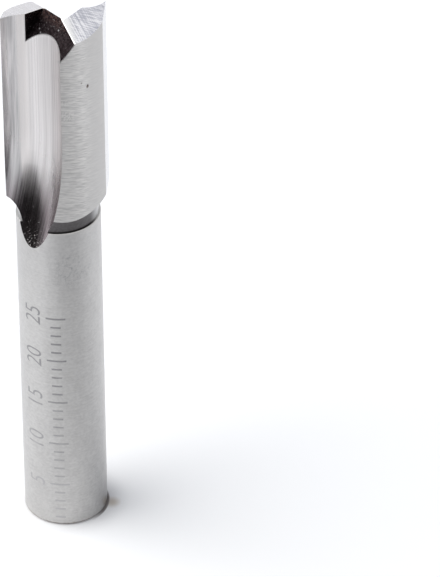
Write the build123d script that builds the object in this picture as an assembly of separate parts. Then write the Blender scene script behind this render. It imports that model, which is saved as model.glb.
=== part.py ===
from build123d import *
from math import acos, cos, degrees, radians, sin, tan
import os

# Router bit with two straight flutes and a plunging end, ground from one bar of tool steel.
# The origin is the centre of the shank's end face and +Z runs up to the cutting end. The two
# cutting corners lie on the X axis, and the whole tool repeats after half a turn about Z.
# Lengths are millimetres and angles are degrees.

# Turned blank
CUTTING_DIAMETER = 10.0
CUTTING_LENGTH = 20.0
SHANK_DIAMETER = 8.0
SHANK_LENGTH = 35.0
SHANK_END_CHAMFER = 0.2
SHOULDER_CHAMFER = 0.06
NECK_DIAMETER = 7.6
NECK_LENGTH = 2.7  # from the shank's shoulder to the lower end of the cutting edges
NECK_STRAIGHT = 0.08  # the part of it below the flare that runs out to the head

# Teeth: a sliver of full diameter, a flat land, and a rounded clearance down to the heel
MARGIN_WIDTH = 0.05
LAND_WIDTH = 2.2
LAND_RELIEF = 23.0
CLEARANCE_STEP = 17.0  # how much more steeply the clearance falls away than the land
CLEARANCE_RADIUS = 5.5
CLEARANCE_SWEEP = 78.0

# Flutes: ground with the round rim of a wheel, which lifts out into the shank
CORE_DIAMETER = 2.6
FLUTE_RADIUS = 3.25
WHEEL_DIAMETER = 57.0
WHEEL_SKEW = 10.5  # turn of the wheel's plane past the middle of the flute
FULL_DEPTH_LENGTH = 12.66  # from the tip down to where the flute starts to run out

# Cutting end: two relieved end faces, gashed through the middle to a chisel edge
END_RELIEF = 20.0
CHISEL_ANGLE = 63.3  # from the line through the cutting corners
CHISEL_LENGTH = 2.8
CHISEL_DROP = 0.38
GASH_SLOPE = 51.0
GASH_CORNER_RADIUS = 0.03

cutting_radius = CUTTING_DIAMETER / 2
edge_bottom = SHANK_LENGTH + NECK_LENGTH
tip = edge_bottom + CUTTING_LENGTH
reach = 2 * CUTTING_DIAMETER  # cutters are this large, so that they pass right through the bar


def polar(radius, angle):
    """A point in plan, from its distance to the axis and its angle from +X."""
    return Vector(radius * cos(radians(angle)), radius * sin(radians(angle)))


def on_both_teeth(cutter):
    """The same cut made twice, half a turn apart."""
    return [cutter, Rot(Z=180) * cutter]


def turned_blank():
    """Shank, undercut neck and head as they leave the lathe, with stock above the tip."""
    shank_radius = SHANK_DIAMETER / 2
    neck_radius = NECK_DIAMETER / 2
    flare_start = (neck_radius, SHANK_LENGTH + NECK_STRAIGHT)
    flare_end = (cutting_radius, edge_bottom)
    stock_top = tip + cutting_radius
    shank = Polyline(
        (0, 0),
        (shank_radius - SHANK_END_CHAMFER, 0),
        (shank_radius, SHANK_END_CHAMFER),
        (shank_radius, SHANK_LENGTH - SHOULDER_CHAMFER),
        (shank_radius - SHOULDER_CHAMFER, SHANK_LENGTH),
        (neck_radius, SHANK_LENGTH),
        flare_start,
    )
    flare = TangentArc(flare_start, flare_end, tangent=(0, 1))
    head = Polyline(flare_end, (cutting_radius, stock_top), (0, stock_top), (0, 0))
    section = make_face(Plane.XZ * (shank + flare + head))
    return revolve(section, Axis.Z)


def relief_cutter():
    """What is ground off behind one edge: everything outside its land and its clearance."""
    land_start = polar(cutting_radius, -degrees(MARGIN_WIDTH / cutting_radius))
    land_end = land_start + polar(LAND_WIDTH, -90 - LAND_RELIEF)
    clearance_start = -LAND_RELIEF - CLEARANCE_STEP
    clearance_centre = land_end - polar(CLEARANCE_RADIUS, clearance_start)
    land = Line(land_start, land_end)
    clearance = CenterArc(clearance_centre, CLEARANCE_RADIUS, clearance_start, -CLEARANCE_SWEEP)
    clearance_end = clearance @ 1
    outside = Polyline(
        clearance_end,
        clearance_end * 2,
        (0, -reach),
        (reach, -reach),
        land_start * 2,
        land_start,
    )
    section = Pos(Z=SHANK_LENGTH) * make_face(land + clearance + outside)
    return extrude(section, reach + NECK_LENGTH + CUTTING_LENGTH)


def flute_cutter():
    """One flute: straight down from the tip, then round where the wheel lifts out."""
    centre_distance = CORE_DIAMETER / 2 + FLUTE_RADIUS
    # The rim passes through the cutting corner, which sets how far round the flute lies.
    corner_to_centre = acos(
        (centre_distance**2 + cutting_radius**2 - FLUTE_RADIUS**2)
        / (2 * centre_distance * cutting_radius)
    )
    centre_angle = 180 + degrees(corner_to_centre)
    centre = polar(centre_distance, centre_angle)
    runout_top = tip - FULL_DEPTH_LENGTH
    rim = Pos(centre.X, centre.Y, runout_top) * Circle(FLUTE_RADIUS)
    straight = extrude(rim, FULL_DEPTH_LENGTH + cutting_radius)

    lift_angle = centre_angle - WHEEL_SKEW
    lift = polar(1, lift_angle)
    rim_to_axle = WHEEL_DIAMETER / 2 - FLUTE_RADIUS
    axle_centre = lift * (centre.dot(lift) + rim_to_axle) + Vector(0, 0, runout_top)
    axle = Axis(axle_centre, polar(1, lift_angle - 90))
    return straight + revolve(rim, axle, 90)


def end_face_cutter():
    """All that is above the end faces, which fall away from a ridge between the corners."""
    fall = reach * tan(radians(END_RELIEF))
    outline = Polyline(
        (0, tip),
        (reach, tip - fall),
        (reach, tip + reach),
        (-reach, tip + reach),
        (-reach, tip - fall),
        (0, tip),
    )
    return extrude(Plane.YZ * make_face(outline), reach, both=True)


def gash_cutter():
    """A notch with a sloping floor and an upright wall, which brings one edge to the centre."""
    chisel_height = tip - CHISEL_DROP
    chisel_end = polar(CHISEL_LENGTH / 2, 180 - CHISEL_ANGLE) + Vector(0, 0, chisel_height)
    along_chisel = polar(1, -CHISEL_ANGLE)
    away_from_chisel = polar(1, -CHISEL_ANGLE - 90)
    down_floor = away_from_chisel - Vector(0, 0, tan(radians(GASH_SLOPE)))
    notch = Plane(origin=chisel_end, x_dir=along_chisel, z_dir=down_floor)
    section = Rectangle(reach, reach, align=(Align.MIN, Align.MIN))
    valley = section.vertices().sort_by_distance((0, 0))[0]
    return extrude(notch * fillet(valley, GASH_CORNER_RADIUS), reach, both=True)


def router_bit():
    """The finished tool: every grinding cut taken from the turned blank."""
    bit = turned_blank()
    bit -= on_both_teeth(relief_cutter())
    bit -= on_both_teeth(flute_cutter())
    bit -= end_face_cutter()
    bit -= on_both_teeth(gash_cutter())
    return bit


os.makedirs("parts", exist_ok=True)
export_step(router_bit(), "parts/router_bit.step")
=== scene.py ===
from math import atan2, cos, degrees, radians, sin

import bmesh
import bpy
from mathutils import Matrix, Vector


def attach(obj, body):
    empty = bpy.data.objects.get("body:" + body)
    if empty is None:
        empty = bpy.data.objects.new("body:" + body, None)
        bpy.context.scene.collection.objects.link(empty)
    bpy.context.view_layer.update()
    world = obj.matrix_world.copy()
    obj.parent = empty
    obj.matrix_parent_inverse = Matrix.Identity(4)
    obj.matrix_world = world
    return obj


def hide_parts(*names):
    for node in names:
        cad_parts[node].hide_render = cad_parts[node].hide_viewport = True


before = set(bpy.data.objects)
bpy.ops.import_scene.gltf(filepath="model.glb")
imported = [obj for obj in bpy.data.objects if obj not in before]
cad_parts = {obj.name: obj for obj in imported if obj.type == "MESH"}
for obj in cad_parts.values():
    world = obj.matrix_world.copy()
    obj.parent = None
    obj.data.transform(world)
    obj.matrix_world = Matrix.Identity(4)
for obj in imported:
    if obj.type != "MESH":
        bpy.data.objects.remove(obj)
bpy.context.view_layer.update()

scene = bpy.context.scene
scene.view_settings.view_transform = "Standard"
MM = 0.001


# ---- Camera -----------------------------------------------------------------
# A long lens looks down on the front of the bit from a little to its left. The
# bit stands at the left edge of the frame.

CAMERA_AZIMUTH = radians(15.61)  # from +Y towards +X, the way the camera looks in plan
CAMERA_PITCH = radians(37.155)
CAMERA_ROLL = radians(-0.484)
CAMERA_DISTANCE = 596.3 * MM
AIM_RIGHT = 15.11 * MM
AIM_HEIGHT = 25.5 * MM
FOCAL_PIXELS = 6293.65
LONG_SIDE_PIXELS = 577
SENSOR_WIDTH = 36.0

ahead = Vector((sin(CAMERA_AZIMUTH), cos(CAMERA_AZIMUTH), 0))
right = Vector((cos(CAMERA_AZIMUTH), -sin(CAMERA_AZIMUTH), 0))
up = Vector((0, 0, 1))


def add_to_scene(name, data):
    """Put a camera, a lamp or a mesh into the scene."""
    obj = bpy.data.objects.new(name, data)
    scene.collection.objects.link(obj)
    return obj


def look(obj, spot, facing, roll=0.0):
    """Place a camera or a lamp at a spot, turned to look along a direction."""
    back = -facing.normalized()
    side = up.cross(back).normalized()
    above = back.cross(side)
    rolled_side = cos(roll) * side + sin(roll) * above
    rolled_above = cos(roll) * above - sin(roll) * side
    turn = Matrix((rolled_side, rolled_above, back)).transposed()
    obj.matrix_world = Matrix.Translation(spot) @ turn.to_4x4()


lens = bpy.data.cameras.new("long_lens")
lens.sensor_width = SENSOR_WIDTH
lens.lens = SENSOR_WIDTH * FOCAL_PIXELS / LONG_SIDE_PIXELS
camera = add_to_scene("camera", lens)
view = ahead * cos(CAMERA_PITCH) - up * sin(CAMERA_PITCH)
aim = right * AIM_RIGHT + up * AIM_HEIGHT
look(camera, aim - view * CAMERA_DISTANCE, view, CAMERA_ROLL)
scene.camera = camera


# ---- Lamp -------------------------------------------------------------------
# One wide softbox stands high on the left and is aimed at the foot of the bit. It
# throws the soft shadow to the right.

SOFTBOX_LEFT = 0.60  # metres, as the next three are
SOFTBOX_AHEAD = 0.02
SOFTBOX_HEIGHT = 0.60
SOFTBOX_SIZE = 0.80
SOFTBOX_POWER = 4.4

softbox = bpy.data.lights.new("left_softbox", "AREA")
softbox.shape = "SQUARE"
softbox.size = SOFTBOX_SIZE
softbox.energy = SOFTBOX_POWER
softbox_spot = ahead * SOFTBOX_AHEAD + up * SOFTBOX_HEIGHT - right * SOFTBOX_LEFT
look(add_to_scene("left_softbox", softbox), softbox_spot, -softbox_spot)


# ---- Room -------------------------------------------------------------------
# The camera sees it white. The steel mirrors it pale, with a dark wall past the table
# in front, and the paper is lit by its windows on the left and a weaker, bluer fill.

class Wire:
    """An output of a node. Arithmetic on it adds the Math nodes that work it out."""

    def __init__(self, shader, socket):
        self.shader = shader
        self.socket = socket

    def math(self, operation, *values):
        """A Math node on this and other values."""
        sockets = dict(enumerate(values))
        return self.shader.node("ShaderNodeMath", {"operation": operation}, sockets)

    def __add__(self, other):
        return self.math("ADD", self, other)

    def __radd__(self, other):
        return self.math("ADD", other, self)

    def __sub__(self, other):
        return self.math("SUBTRACT", self, other)

    def __rsub__(self, other):
        return self.math("SUBTRACT", other, self)

    def __mul__(self, other):
        return self.math("MULTIPLY", self, other)

    def __rmul__(self, other):
        return self.math("MULTIPLY", other, self)

    def __truediv__(self, other):
        return self.math("DIVIDE", self, other)

    def __rtruediv__(self, other):
        return self.math("DIVIDE", other, self)

    def __abs__(self):
        return self.math("ABSOLUTE", self)


class Shader:
    """The node tree of a material or of the world."""

    def __init__(self, owner):
        owner.use_nodes = True
        self.tree = owner.node_tree
        self.tree.nodes.clear()

    def node(self, kind, settings=None, sockets=None, output=0):
        """Add a node: its type, then its settings, then its sockets' values or links."""
        added = self.tree.nodes.new(kind)
        for name, value in (settings or {}).items():
            setattr(added, name, value)
        for name, value in (sockets or {}).items():
            if isinstance(value, Wire):
                self.tree.links.new(value.socket, added.inputs[name])
            else:
                added.inputs[name].default_value = value
        return Wire(self, added.outputs[output]) if added.outputs else None

    def spot(self):
        """Where a point lies on the object, in metres."""
        return self.node("ShaderNodeTexCoord", output="Object")

    def rise(self, value, low, high):
        """0 up to one value, 1 from another on, and smooth between them."""
        sockets = {"Value": value, "From Min": low, "From Max": high}
        return self.node("ShaderNodeMapRange", {"interpolation_type": "SMOOTHSTEP"}, sockets)

    def vectors(self, operation, first, second):
        """A number worked out from two vectors."""
        settings = {"operation": operation}
        return self.node("ShaderNodeVectorMath", settings, {0: first, 1: second}, "Value")

    def along(self, vector, direction):
        """How far a vector reaches along a direction."""
        return self.vectors("DOT_PRODUCT", vector, direction)

    def near(self, place, inner, outer):
        """1 within one distance of a place, given in millimetres, and 0 past another."""
        distance = self.vectors("DISTANCE", self.spot(), [step * MM for step in place])
        return 1 - self.rise(distance, inner * MM, outer * MM)

    def blend(self, share, first, second):
        """The first colour, or the second where the share is 1."""
        sockets = {0: share, 6: first, 7: second}
        return self.node("ShaderNodeMix", {"data_type": "RGBA"}, sockets, 2)

    def ray(self, kind):
        """1 where a ray of one kind looks at the surface."""
        return self.node("ShaderNodeLightPath", output="Is " + kind + " Ray")


WHITE = (1, 1, 1, 1)
SHADE_BLUE = (0.94, 0.98, 1.07, 1)
PALE_ROOM = 0.85
DARK_WALL = 0.008
WALL_AZIMUTH = radians(-25)  # from straight in front of the bit, towards the left
WALL_EDGE = (0.15, 0.5)  # cosines of the angle from the wall's middle
WALL_TOP = (0.42, 0.58)  # sines of the angle above the table
WINDOW = 1.39
WINDOW_EDGE = (0.2, 0.7)  # cosines of the angle from straight left
FILL = 0.42

world = bpy.data.worlds.new("room")
scene.world = world
room = Shader(world)
direction = room.node("ShaderNodeTexCoord", output="Generated")
wallward = right * sin(WALL_AZIMUTH) - ahead * cos(WALL_AZIMUTH)
below_top = 1 - room.rise(room.along(direction, up), *WALL_TOP)
wall = room.rise(room.along(direction, wallward), *WALL_EDGE) * below_top
reflected = wall * (DARK_WALL - PALE_ROOM) + PALE_ROOM
window = room.rise(room.along(direction, -right), *WINDOW_EDGE)
seen = room.ray("Camera")
mirrored = room.ray("Glossy")
lighting = 1 - seen - mirrored
brightness = seen + mirrored * reflected + lighting * (window * WINDOW + FILL)
colour = room.blend(lighting * (1 - window), WHITE, SHADE_BLUE)
background = room.node("ShaderNodeBackground", sockets={"Color": colour, "Strength": brightness})
room.node("ShaderNodeOutputWorld", sockets={"Surface": background})


# ---- Table ------------------------------------------------------------------
# A sheet of white paper, with a brown smear and a near-black ring at the foot of the bit.
# It has painted shade, which only the steel shows: it darkens to the left, has a grey
# patch in front and further on is painted almost black, as if it ended. To the camera
# it glows back to white, and a little more away from the foot.

PAPER = 0.95
TABLE_REACH = 700 * MM
# painted shade on the paper, for the steel to mirror: to the left, across the front and in a
# patch
LEFT_SHADE_FALL = (40 * MM, 260 * MM)
LEFT_SHADE_DEPTH = 0.85
FRONT_SHADE_EDGE = (76 * MM, 116 * MM)
FRONT_SHADE_EDGE_DEPTH = 0.85
FAR_FRONT_SHADE = (105 * MM, 180 * MM)
FAR_FRONT_SHADE_DEPTH = 0.98
SHADE_PATCH_RIGHT = 20  # places and radii here and below are millimetres
SHADE_PATCH_FRONT = 42
SHADE_PATCH_RADII = (10, 60)
SHADE_PATCH_DEPTH = 0.36
FOOT = (0, 0, 0)
GLOW = 0.10
GLOW_RADII = (4, 6.5)
SMEAR = (0.50, 0.42, 0.33, 1)
SMEAR_PLACE = (4.15, -1.70, 0)
SMEAR_RADII = (0.1, 1.1)
SMEAR_SHARE = 0.8
# near black, on the paper round the foot and on the shank's rim, to the camera's right
FOOT_DARK = (0.03, 0.012, 0.012, 1)
FOOT_DARK_PLACE = (3.75, -1.90, 0)
FOOT_DARK_RADII = (0.9, 3.2)
FOOT_DARK_RING = (4.10, 4.27)

paper_mesh = bmesh.new()
bmesh.ops.create_grid(paper_mesh, x_segments=1, y_segments=1, size=TABLE_REACH)
paper_data = bpy.data.meshes.new("paper")
paper_mesh.to_mesh(paper_data)
paper_mesh.free()
paper_finish = bpy.data.materials.new("paper")
paper_data.materials.append(paper_finish)
paper = Shader(paper_finish)
leftward = paper.along(paper.spot(), -right)
forward = paper.along(paper.spot(), -ahead)
# painted shade; the camera-only glow below makes it up to white again
left_shade = 1 - paper.rise(leftward, *LEFT_SHADE_FALL) * LEFT_SHADE_DEPTH
front_shade_edge = 1 - paper.rise(forward, *FRONT_SHADE_EDGE) * FRONT_SHADE_EDGE_DEPTH
far_front_shade = 1 - paper.rise(forward, *FAR_FRONT_SHADE) * FAR_FRONT_SHADE_DEPTH
shade_patch_place = right * SHADE_PATCH_RIGHT - ahead * SHADE_PATCH_FRONT
shade_patch = 1 - paper.near(shade_patch_place, *SHADE_PATCH_RADII) * SHADE_PATCH_DEPTH
tone = left_shade * front_shade_edge * far_front_shade * shade_patch * PAPER
grey = paper.node("ShaderNodeCombineColor", sockets={"Red": tone, "Green": tone, "Blue": tone})
colour = paper.blend(paper.near(SMEAR_PLACE, *SMEAR_RADII) * SMEAR_SHARE, grey, SMEAR)
# a near-black ring on the paper just round the foot, to the camera's right
foot_dark = paper.near(FOOT_DARK_PLACE, *FOOT_DARK_RADII) * paper.near(FOOT, *FOOT_DARK_RING)
colour = paper.blend(foot_dark, colour, FOOT_DARK)
lit = paper.node("ShaderNodeBsdfDiffuse", sockets={"Color": colour})
off_foot = 1 - paper.near(FOOT, *GLOW_RADII)
missing = paper.ray("Camera") * (PAPER - tone + off_foot * GLOW)
glow = paper.node("ShaderNodeEmission", sockets={"Color": WHITE, "Strength": missing})
sheet = paper.node("ShaderNodeAddShader", sockets={0: lit, 1: glow})
paper.node("ShaderNodeOutputMaterial", sockets={"Surface": sheet})
add_to_scene("paper", paper_data)


# ---- Bit --------------------------------------------------------------------
# One bar of high-speed steel, turned and then ground. It keeps the solid's form, but for
# a stoned arris round the notches in its end. Its faces are sorted by the cut that made
# them, so that each gets its own finish.

SHOULDER = 35.0 * MM
SHANK_RADIUS = 4.0 * MM
HEAD_RADIUS = 5.0 * MM
FLUTE_RADIUS = 3.25 * MM
FLUTE_DISTANCE = 4.55 * MM
FLUTE_AZIMUTH = radians(-140.56)
LAND_AZIMUTH = -23.0  # degrees, the way the flat land of the tooth at +X faces
LAND_TOLERANCE = 1.0
GASH_BOTTOM = 50.0 * MM
SEAM = 0.002 * MM
ON_FLUTE = 0.02 * MM
ON_MARGIN = 0.01 * MM
OUTER_SHARE = 0.93  # of the shank's radius, past which a face may be on the outside
FACES_OUT = 0.6  # the outward part of a face's normal, and below the upward part
FACES_UP = 0.9
UPRIGHT = 0.02
SHANK_SIDE = 0.1
SHANK_END = 0.6

flute_centre = Vector((cos(FLUTE_AZIMUTH), sin(FLUTE_AZIMUTH))) * FLUTE_DISTANCE


def in_straight_flute(face):
    """Whether all corners of a face lie on the round wall of one flute."""
    for centre in (flute_centre, -flute_centre):
        gaps = [abs((corner.co.xy - centre).length - FLUTE_RADIUS) for corner in face.verts]
        if max(gaps) < ON_FLUTE:
            return True
    return False


def on_land(normal, radius):
    """Whether an upright outer face is on either tooth's flat land or its round margin."""
    azimuth = degrees(atan2(normal.y, normal.x))
    off_land = abs((azimuth - LAND_AZIMUTH + 90) % 180 - 90)
    return off_land < LAND_TOLERANCE or radius > HEAD_RADIUS - ON_MARGIN


def cut_of(face):
    """The name of the cut that made a face."""
    middle = face.calc_center_median()
    normal = face.normal
    radius = max(middle.xy.length, SEAM)
    outward = normal.xy.dot(middle.xy) / radius
    outside = radius > OUTER_SHARE * SHANK_RADIUS and outward > FACES_OUT
    lean = abs(normal.z)
    if middle.z < SHOULDER - SEAM and (lean < SHANK_SIDE or lean > SHANK_END):
        return "shank"
    if in_straight_flute(face):
        return "flute"
    if normal.z > FACES_UP:
        return "end" if middle.z > GASH_BOTTOM else "neck"
    if outside and lean < UPRIGHT and radius > SHANK_RADIUS:
        return "land" if on_land(normal, radius) else "back"
    if middle.z > GASH_BOTTOM:
        return "gash"
    return "neck" if outside and normal.z < UPRIGHT else "flute"


CUTS = ["shank", "neck", "flute", "back", "land", "end", "gash", "arris"]
ARRIS = 0.04 * MM
SHARP = radians(14)

bit_mesh = bmesh.new()
bit_mesh.from_mesh(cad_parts["router_bit"].data)
bmesh.ops.remove_doubles(bit_mesh, verts=bit_mesh.verts, dist=SEAM)
for face in bit_mesh.faces:
    face.material_index = CUTS.index(cut_of(face))
gash_edges = []
for edge in bit_mesh.edges:
    cuts = {CUTS[face.material_index] for face in edge.link_faces}
    if "gash" in cuts and len(cuts) == 2:
        gash_edges.append(edge)
bmesh.ops.bevel(
    bit_mesh, geom=gash_edges, offset=ARRIS, segments=1, profile=0.5, affect="EDGES",
    clamp_overlap=True, material=CUTS.index("arris"),
)
for face in bit_mesh.faces:
    face.smooth = True
for edge in bit_mesh.edges:
    same_cut = len({face.material_index for face in edge.link_faces}) == 1
    edge.smooth = same_cut and edge.calc_face_angle(0) < SHARP
bit_data = bpy.data.meshes.new("ground_bit")
bit_mesh.to_mesh(bit_data)
bit_mesh.free()
bit = add_to_scene("ground_bit", bit_data)
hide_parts("router_bit")
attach(bit, "root")


# ---- Shank finish -----------------------------------------------------------
# Centreless ground to size: a plain satin grey with faint rings, scuffed where the
# collet gripped it and greyer towards the top, with a little rust on the rim of its end
# and a near-black patch at its foot, on the side to the camera's right.

def new_finish(name):
    """A finish for the next group of the bit's faces."""
    finish = bpy.data.materials.new(name)
    bit_data.materials.append(finish)
    return Shader(finish)


def steel(shader, tone, roughness, relief, depth):
    """Close a shader as bare steel, with bumps of a depth in millimetres."""
    sockets = {"Strength": 1.0, "Distance": depth * MM, "Height": relief}
    bump = shader.node("ShaderNodeBump", sockets=sockets)
    sockets = {"Base Color": tone, "Roughness": roughness, "Metallic": 1.0, "Normal": bump}
    surface = shader.node("ShaderNodeBsdfPrincipled", sockets=sockets)
    shader.node("ShaderNodeOutputMaterial", sockets={"Surface": surface})


def grain(shader, sizes, turn=0.0, tilt=0.0, detail=3.0):
    """A pattern from 0 to 1 whose marks have given sizes along X, Y and Z, in
    millimetres. It may be turned about Z, after a tilt about Y."""
    scale = [size * MM for size in sizes]
    placing = {"Vector": shader.spot(), "Rotation": (0, tilt, turn), "Scale": scale}
    turned = shader.node("ShaderNodeMapping", {"vector_type": "TEXTURE"}, placing)
    sockets = {"Vector": turned, "Scale": 1.0, "Detail": detail}
    return shader.node("ShaderNodeTexNoise", sockets=sockets, output="Fac")


def place_along(shader, axis):
    """Where a point lies along the X, Y or Z axis, in millimetres."""
    return shader.node("ShaderNodeSeparateXYZ", sockets={0: shader.spot()}, output=axis) / MM


SHANK_DARK = (0.50, 0.49, 0.48, 1)
SHANK_LIGHT = (0.69, 0.68, 0.665, 1)
SPECKLE_SIZE = (0.30, 0.30, 0.22)
RING_SIZE = (3, 3, 0.12)
CLOUD_SIZE = (0.9, 0.9, 1.4)
MOTTLE_RANGE = (0.16, 0.84)
SCUFF = (0.38, 0.38, 0.385, 1)
SCUFF_TILT = radians(25)
NICK_SIZE = (0.22, 0.22, 0.45)
NICK_RANGE = (0.54, 0.64)
NICK_PLACE = (0.1, -4.0, 31.0)
NICK_RADII = (0.5, 3.2)
NICK_SHARE = 0.5
CURL_SIZE = (1.1, 1.1, 1.3)
CURL_WIDTH = 0.022
CURL_PLACE = (0.3, -4.0, 30.6)
CURL_RADII = (0.6, 2.6)
CURL_SHARE = 0.8
UPPER_GREY_HEIGHTS = (24, 33)
UPPER_GREY_SHARE = 0.18
RUST = (0.17, 0.12, 0.09, 1)
RUST_HEIGHTS = (0.06, 0.20)
RUST_SHARE = 0.85
LUMP_SIZE = (0.8, 0.8, 0.4)
RIM_DARK_PLACE = (3.93, -0.75, 0.0)
RIM_DARK_RADII = (0.3, 2.0)
RIM_DARK_RANGE = (0.55, 0.95)
SHANK_ROUGHNESS = 0.27
SHANK_RELIEF = 0.0015

shank = new_finish("shank_steel")
cloud = grain(shank, CLOUD_SIZE)
speckle = grain(shank, SPECKLE_SIZE)
rings = grain(shank, RING_SIZE, detail=2)
mottle = shank.rise(speckle * 0.5 + rings * 0.25 + cloud * 0.25, *MOTTLE_RANGE)
tone = shank.blend(mottle, SHANK_DARK, SHANK_LIGHT)
nicks = shank.rise(grain(shank, NICK_SIZE, tilt=SCUFF_TILT), *NICK_RANGE)
nicks = shank.near(NICK_PLACE, *NICK_RADII) * nicks
tone = shank.blend(nicks * NICK_SHARE, tone, SCUFF)
off_curl = abs(grain(shank, CURL_SIZE, tilt=SCUFF_TILT, detail=2) - 0.5)
curls = (1 - shank.rise(off_curl, 0.0, CURL_WIDTH)) * shank.near(CURL_PLACE, *CURL_RADII)
tone = shank.blend(curls * CURL_SHARE, tone, SCUFF)
height = place_along(shank, "Z")
# greyer towards the top of the shank
tone = shank.blend(shank.rise(height, *UPPER_GREY_HEIGHTS) * UPPER_GREY_SHARE, tone, SCUFF)
lumps = grain(shank, LUMP_SIZE)
rust = 1 - shank.rise(height - lumps * 0.2, *RUST_HEIGHTS)
tone = shank.blend(rust * RUST_SHARE, tone, RUST)
# near black at the foot of the rim, to the camera's right
foot_dark = shank.near(RIM_DARK_PLACE, *RIM_DARK_RADII) + lumps * 0.6 - height * 0.4
tone = shank.blend(shank.rise(foot_dark, *RIM_DARK_RANGE), tone, FOOT_DARK)
relief = rings + speckle + curls * 1.5
steel(shank, tone, speckle * 0.10 + SHANK_ROUGHNESS, relief, SHANK_RELIEF)


# ---- Neck finish ------------------------------------------------------------
# The undercut below the head is as it left the lathe and the hardening: dark, with
# scale in its root. Its left and right, as the camera sees them, are painted lighter: a painted
# reflection.

NECK_DARK = (0.08, 0.071, 0.068, 1)
NECK_LIGHT = (0.20, 0.195, 0.20, 1)
OXIDE_SIZE = (0.25, 0.25, 0.2)
NECK_ROOT = (0.05, 0.05, 0.05, 1)
ROOT_HEIGHTS = (35.05, 35.2)
ROOT_SHARE = 0.6
NECK_SHEEN = (0.56, 0.56, 0.56, 1)
SHEEN_FROM = (3.0 * MM, 3.75 * MM)
NECK_ROUGHNESS = 0.32
NECK_RELIEF = 0.004

neck = new_finish("neck_steel")
oxide = grain(neck, OXIDE_SIZE)
tone = neck.blend(oxide, NECK_DARK, NECK_LIGHT)
root = 1 - neck.rise(place_along(neck, "Z"), *ROOT_HEIGHTS)
tone = neck.blend(root * ROOT_SHARE, tone, NECK_ROOT)
# painted reflection: the neck lighter towards the camera's left and right
neck_sheen = neck.rise(abs(neck.along(neck.spot(), right)), *SHEEN_FROM)
tone = neck.blend(neck_sheen, tone, NECK_SHEEN)
steel(neck, tone, oxide * 0.2 + NECK_ROUGHNESS, oxide, NECK_RELIEF)


# ---- Flute finish -----------------------------------------------------------
# A form wheel ran up each flute, so its fine lines lie in planes across the wheel's
# axle. They close up in the bottom and draw out to broad streaks on the cutting face,
# and where the wheel lifted out the steel is darker and purplish, with a few bright crumbs.

WHEEL_SKEW = radians(10.5)  # turn of the wheel's plane past the middle of the flute
FLUTE_DARK = (0.61, 0.585, 0.58, 1)
FLUTE_LIGHT = (0.88, 0.855, 0.85, 1)
LINE_SIZE = (9, 0.15, 26)
STREAK_SIZE = (9, 0.55, 40)
LINE_RANGE = (0.2, 0.8)
FLUTE_PALE = (1.0, 0.955, 0.935, 1)
PALE_FROM = (2.2, 2.8)
PALE_SHARE = 0.7
WAVE_DARK = (0.48, 0.475, 0.48, 1)
WAVE_LIGHT = (0.89, 0.87, 0.87, 1)
WAVE_SIZE = (2.0, 0.13, 8)
WAVE_RANGE = (0.35, 0.65)
CUTTING_FACE_FROM = (3.25, 3.55)
CUTTING_FACE_SHARE = 0.9
LOW_FACE_DARK = (0.28, 0.275, 0.28, 1)
LOW_FACE_LIGHT = (0.74, 0.73, 0.73, 1)
LOW_FACE_RANGE = (0.44, 0.58)
LOW_FACE_HEIGHTS = (38.5, 43.5)
LOW_FACE_SHARE = 0.75
RUN_OUT_DARK = (0.26, 0.195, 0.215, 1)
RUN_OUT_HEIGHTS = (35.5, 41.5)
RUN_OUT_SHARE = 0.7
FLUTE_CRUMB = (0.95, 0.93, 0.92, 1)
FLUTE_CRUMB_SIZE = (0.10, 0.10, 0.12)
CRUMB_RANGE = (0.66, 0.74)
CRUMB_THINNING = (33.2, 36.4)
CRUMB_HEIGHTS = (36.5, 37.5)
HEEL_SIDE_UP_TO = (1.2, 2.1)
FLUTE_ROUGHNESS = 0.09
DULL_HEIGHTS = (40, 46)
FLUTE_RELIEF = 0.008

wheel_turn = FLUTE_AZIMUTH - WHEEL_SKEW
flute = new_finish("flute_steel")
lines = grain(flute, LINE_SIZE, wheel_turn)
streaks = grain(flute, STREAK_SIZE, wheel_turn, detail=2)
waves = grain(flute, WAVE_SIZE, wheel_turn, detail=5)
from_middle = abs(place_along(flute, "X"))
height = place_along(flute, "Z")
fine = flute.rise(lines * 0.85 + streaks * 0.15, *LINE_RANGE)
tone = flute.blend(fine, FLUTE_DARK, FLUTE_LIGHT)
tone = flute.blend(flute.rise(from_middle, *PALE_FROM) * PALE_SHARE, tone, FLUTE_PALE)
cutting_face = flute.rise(from_middle, *CUTTING_FACE_FROM)
wavy = flute.blend(flute.rise(waves, *WAVE_RANGE), WAVE_DARK, WAVE_LIGHT)
tone = flute.blend(cutting_face * CUTTING_FACE_SHARE, tone, wavy)
low_face = cutting_face * (1 - flute.rise(height, *LOW_FACE_HEIGHTS))
low_tone = flute.blend(flute.rise(lines, *LOW_FACE_RANGE), LOW_FACE_DARK, LOW_FACE_LIGHT)
tone = flute.blend(low_face * LOW_FACE_SHARE, tone, low_tone)
# darker and purplish towards the run-out
run_out = 1 - flute.rise(height, *RUN_OUT_HEIGHTS)
tone = flute.blend(run_out * RUN_OUT_SHARE, tone, RUN_OUT_DARK)
crumbs = grain(flute, FLUTE_CRUMB_SIZE, detail=1)
crumbs = flute.rise(crumbs - flute.rise(height, *CRUMB_THINNING) * 0.12, *CRUMB_RANGE)
crumbs = crumbs * (1 - flute.rise(height, *CRUMB_HEIGHTS))
tone = flute.blend(crumbs, tone, FLUTE_CRUMB)
heel_side = 1 - flute.rise(from_middle, *HEEL_SIDE_UP_TO)
roughness = lines * 0.12 + cutting_face * 0.06 + crumbs * 0.7 + heel_side * 0.12
roughness = roughness + flute.rise(height, *DULL_HEIGHTS) * 0.08 + FLUTE_ROUGHNESS
relief = lines * (run_out * 1.5 + 1) + streaks * 0.6 + waves * cutting_face
steel(flute, tone, roughness, relief, FLUTE_RELIEF)


# ---- Tooth back finish ------------------------------------------------------
# The clearance behind each land is swept out by the face of a cup wheel, which leaves
# long shallow scratches almost square to the axis, and here and there a dent or a pit.

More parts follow.
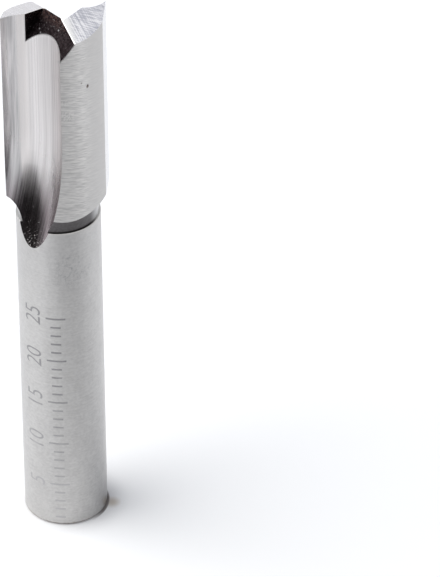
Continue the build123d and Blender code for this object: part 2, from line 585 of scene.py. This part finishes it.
BACK_DARK = (0.51, 0.50, 0.49, 1)
BACK_LIGHT = (0.75, 0.735, 0.715, 1)
BACK_TILT = radians(11)
SCRATCH_SIZE = (0.9, 0.9, 0.065)
BAND_SIZE = (2.5, 2.5, 0.35)
FRESH_UP_TO = (2.5 * MM, 3.6 * MM)
WORN_SHARE = 0.75
DENT_SIZE = (0.13, 0.13, 0.2)
DENTS = [((0.0, -4.04, 48.4), 0.2, 1.0), ((-0.1, -4.04, 50.0), 0.1, 0.5)]
BACK_RANGE = (0.34, 0.66)
PIT = (0.10, 0.07, 0.06, 1)
PITS = [((2.22, -3.54, 51.06), 0.08, 0.20), ((2.24, -3.53, 51.22), 0.04, 0.14)]
FAINT_PIT = ((1.59, -3.78, 51.69), 0.04, 0.13)
PIT_SHARE = 0.85
BACK_ROUGHNESS = 0.27
BACK_RELIEF = 0.005

back = new_finish("back_steel")
scratches = grain(back, SCRATCH_SIZE, tilt=BACK_TILT, detail=4)
bands = grain(back, BAND_SIZE, tilt=BACK_TILT, detail=2)
worn = back.rise(abs(back.along(back.spot(), right)), *FRESH_UP_TO)
marks = (scratches * 0.85 + bands * 0.15 - 0.4) * (1 - worn * WORN_SHARE) + 0.42
dented = sum(back.near(*dent) for dent in DENTS)
marks = marks + (grain(back, DENT_SIZE, detail=1) - 0.5) * dented * 0.8
tone = back.blend(back.rise(marks, *BACK_RANGE), BACK_DARK, BACK_LIGHT)
pitted = sum((back.near(*pit) for pit in PITS), back.near(*FAINT_PIT) * 0.7)
tone = back.blend(pitted * PIT_SHARE, tone, PIT)
steel(back, tone, scratches * 0.12 + BACK_ROUGHNESS, marks, BACK_RELIEF)


# ---- Land finish ------------------------------------------------------------
# The narrow flat behind each edge and the sliver of full diameter in front of it,
# honed last and the brightest part of the tool.

LAND_DARK = (0.78, 0.78, 0.79, 1)
LAND_LIGHT = (0.90, 0.90, 0.91, 1)
HONE_SIZE = (1.5, 1.5, 0.12)
LAND_ROUGHNESS = 0.16
LAND_RELIEF = 0.002

land = new_finish("land_steel")
hone = grain(land, HONE_SIZE)
tone = land.blend(hone, LAND_DARK, LAND_LIGHT)
steel(land, tone, hone * 0.08 + LAND_ROUGHNESS, hone, LAND_RELIEF)


# ---- End face finish --------------------------------------------------------
# Both end edges are relieved on a cup wheel. One face kept the wheel's bright and dark
# streaks, with shorter scratches across them, and the other was lapped after it. The
# streaked face has a painted highlight, white towards the middle of the end.

END_TURN = radians(11)
END_STREAK_SIZE = (0.13, 5, 5)
END_BROAD_SIZE = (0.6, 9, 9)
STREAK_DARK = (0.52, 0.53, 0.60, 1)
STREAK_LIGHT = (0.94, 0.94, 0.98, 1)
STREAK_RANGE = (0.40, 0.61)
FADE_FROM = (1.6, 3.0)
FADE_SHARE = 0.70
CROSSING_SIZE = (0.10, 1.2, 1.2)
CROSSING_TURN = END_TURN + radians(50)
CROSSING_SHARE = 0.45
END_HIGHLIGHT = (1.0, 1.0, 1.0, 1)
HIGHLIGHT_UP_TO = (0.8, 1.7)
END_GREY = (0.74, 0.72, 0.74, 1)
KEPT_FROM = (-0.1, 0.1)
END_ROUGHNESS = 0.2
END_RELIEF = 0.004

end = new_finish("end_steel")
streaks = grain(end, END_STREAK_SIZE, END_TURN, detail=4)
broad = grain(end, END_BROAD_SIZE, END_TURN, detail=1)
crossing = grain(end, CROSSING_SIZE, CROSSING_TURN, detail=2) - 0.5
sideways = place_along(end, "X")
fade = 1 - end.rise(sideways, *FADE_FROM) * FADE_SHARE
marks = (streaks * 0.7 + broad * 0.3 - 0.5) * fade + 0.5 + crossing * CROSSING_SHARE
streaked = end.blend(end.rise(marks, *STREAK_RANGE), STREAK_DARK, STREAK_LIGHT)
# painted highlight: white towards the middle of the end
streaked = end.blend(1 - end.rise(sideways, *HIGHLIGHT_UP_TO), streaked, END_HIGHLIGHT)
lapped = end.blend(broad * 0.4 + streaks * 0.1, END_GREY, STREAK_LIGHT)
kept = end.rise(sideways, *KEPT_FROM)
tone = end.blend(kept, lapped, streaked)
steel(end, tone, streaks * 0.12 + END_ROUGHNESS, streaks * kept, END_RELIEF)


# ---- Gash finish ------------------------------------------------------------
# The notches in the end are cut by the corner of a wheel and left rough. Their steel
# is coloured almost black, with a brown bloom and a few bright crumbs.

GASH_BLACK = (0.012, 0.008, 0.009, 1)
GASH_GREY = (0.036, 0.028, 0.030, 1)
BLOOM_SIZE = (0.22, 0.22, 0.22)
BLOOM_RANGE = (0.38, 0.66)
GASH_BROWN = (0.12, 0.058, 0.040, 1)
SCORCH_HEIGHTS = (56.3, 57.2)
SCORCH_RANGE = (0.40, 0.60)
SCORCH_SHARE = 0.27
CRUMB = (0.45, 0.44, 0.45, 1)
GASH_CRUMB_SIZE = (0.10, 0.10, 0.10)
GASH_CRUMB_RANGE = (0.66, 0.76)
GASH_CRUMB_SHARE = 0.6
SPECKS = [(-1.30, 0, 55.88), (-1.31, -0.36, 55.68), (0.08, -1.65, 56.49)]
SPECK_RADII = (0.03, 0.12)
GASH_ROUGHNESS = 0.35
GASH_RELIEF = 0.02

gash = new_finish("gash_steel")
bloom = grain(gash, BLOOM_SIZE, detail=4)
crumbs = grain(gash, GASH_CRUMB_SIZE, detail=1)
tone = gash.blend(gash.rise(bloom, *BLOOM_RANGE), GASH_BLACK, GASH_GREY)
scorch = gash.rise(place_along(gash, "Z"), *SCORCH_HEIGHTS) * gash.rise(bloom, *SCORCH_RANGE)
tone = gash.blend(scorch * SCORCH_SHARE, tone, GASH_BROWN)
bright = gash.rise(crumbs, *GASH_CRUMB_RANGE) * GASH_CRUMB_SHARE
bright = sum((gash.near(speck, *SPECK_RADII) for speck in SPECKS), bright)
tone = gash.blend(bright, tone, CRUMB)
roughness = crumbs * 0.3 + bright * 0.3 + GASH_ROUGHNESS
steel(gash, tone, roughness, crumbs + bloom, GASH_RELIEF)


# ---- Arris finish -----------------------------------------------------------
# The edges round the notches were broken with a stone, by hand, and catch the light
# as fine bright lines.

ARRIS_BRIGHT = (0.96, 0.94, 0.93, 1)
WEAR_SIZE = (0.3, 0.3, 0.3)
ARRIS_ROUGHNESS = 0.3
ARRIS_RELIEF = 0.002

arris = new_finish("arris_steel")
wear = grain(arris, WEAR_SIZE)
steel(arris, ARRIS_BRIGHT, wear * 0.1 + ARRIS_ROUGHNESS, wear, ARRIS_RELIEF)


# ---- Depth scale ------------------------------------------------------------
# A plain scale of insertion depth in millimetres, burnt on with a fine laser: a row of
# strokes and the figures beside them, which read from the shank's end towards the head.
# The end is handled most, so the scale has worn paler there.

SCALE_TOP = 25  # every size here is in millimetres
SCALE_STEP = 5
FIGURE_AZIMUTH = radians(-145.5)
FIGURE_SIZE = 2.7
FIGURE_WIDTH = 0.80  # of the font's own
FIGURE_THINNING = -0.02
FIGURE_SEAM = 0.001
STROKE_AZIMUTH = radians(-112)
STROKE_WIDTH = 0.19
LONG_STROKE = 1.9
SHORT_STROKE = 1.0
MARK_DEPTH = 0.2  # while it is flat
MARK_PROUD = 0.004
MARK_SUNK = 0.03
BEND_STEP = 0.2

scale_mesh = bmesh.new()


def wrap(mark, azimuth, height):
    """Bend a flat mark round the shank and add it to the scale."""
    reach = int(LONG_STROKE / BEND_STEP) + 1
    for step in range(-reach, reach + 1):
        parts = list(mark.verts) + list(mark.edges) + list(mark.faces)
        place = (0, step * BEND_STEP, 0)
        bmesh.ops.bisect_plane(mark, geom=parts, plane_co=place, plane_no=(0, 1, 0))
    for corner in mark.verts:
        along, across, out = corner.co
        radius = SHANK_RADIUS + MM * (MARK_PROUD if out > 0 else -MARK_SUNK)
        angle = azimuth - across * MM / SHANK_RADIUS
        corner.co = (radius * cos(angle), radius * sin(angle), height * MM + along * MM)
    bmesh.ops.recalc_face_normals(mark, faces=mark.faces)
    bent = bpy.data.meshes.new("mark")
    mark.to_mesh(bent)
    mark.free()
    scale_mesh.from_mesh(bent)
    bpy.data.meshes.remove(bent)


def figure(text, height):
    """A number of the scale, laid flat and then wrapped round the shank."""
    letters = bpy.data.curves.new("figure", "FONT")
    letters.body = text
    letters.size = FIGURE_SIZE
    letters.align_x = "CENTER"
    letters.align_y = "CENTER"
    letters.offset = FIGURE_THINNING
    letters.extrude = MARK_DEPTH / 2
    holder = bpy.data.objects.new("figure", letters)
    flat = bpy.data.meshes.new_from_object(holder)
    mark = bmesh.new()
    mark.from_mesh(flat)
    bmesh.ops.remove_doubles(mark, verts=mark.verts, dist=FIGURE_SEAM)
    bmesh.ops.scale(mark, vec=(FIGURE_WIDTH, 1, 1), verts=mark.verts)
    bpy.data.objects.remove(holder)
    bpy.data.curves.remove(letters)
    bpy.data.meshes.remove(flat)
    wrap(mark, FIGURE_AZIMUTH, height)


def stroke(length, height):
    """A stroke of the scale."""
    mark = bmesh.new()
    bmesh.ops.create_cube(mark, size=1)
    bmesh.ops.scale(mark, vec=(STROKE_WIDTH, length, MARK_DEPTH), verts=mark.verts)
    wrap(mark, STROKE_AZIMUTH, height)


for depth in range(1, SCALE_TOP + 1):
    if depth % SCALE_STEP == 0:
        figure(str(depth), depth)
    stroke(SHORT_STROKE if depth % SCALE_STEP else LONG_STROKE, depth)
scale_data = bpy.data.meshes.new("depth_scale")
scale_mesh.to_mesh(scale_data)
scale_mesh.free()

MARK_DARK = (0.34, 0.335, 0.34, 1)
MARK_WORN = (0.52, 0.51, 0.515, 1)
MARK_PATCH_SIZE = (0.6, 0.6, 0.8)
MARK_WORN_RANGE = (0.25, 0.75)
MARK_ROUGHNESS = 0.4
MARK_RELIEF = 0.001

laser_finish = bpy.data.materials.new("laser_mark")
scale_data.materials.append(laser_finish)
laser = Shader(laser_finish)
patches = grain(laser, MARK_PATCH_SIZE)
worn = patches * 0.5 + (1 - place_along(laser, "Z") / SCALE_TOP) * 0.5
tone = laser.blend(laser.rise(worn, *MARK_WORN_RANGE), MARK_DARK, MARK_WORN)
steel(laser, tone, patches * 0.1 + MARK_ROUGHNESS, patches, MARK_RELIEF)
depth_scale = add_to_scene("depth_scale", scale_data)
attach(depth_scale, "root")
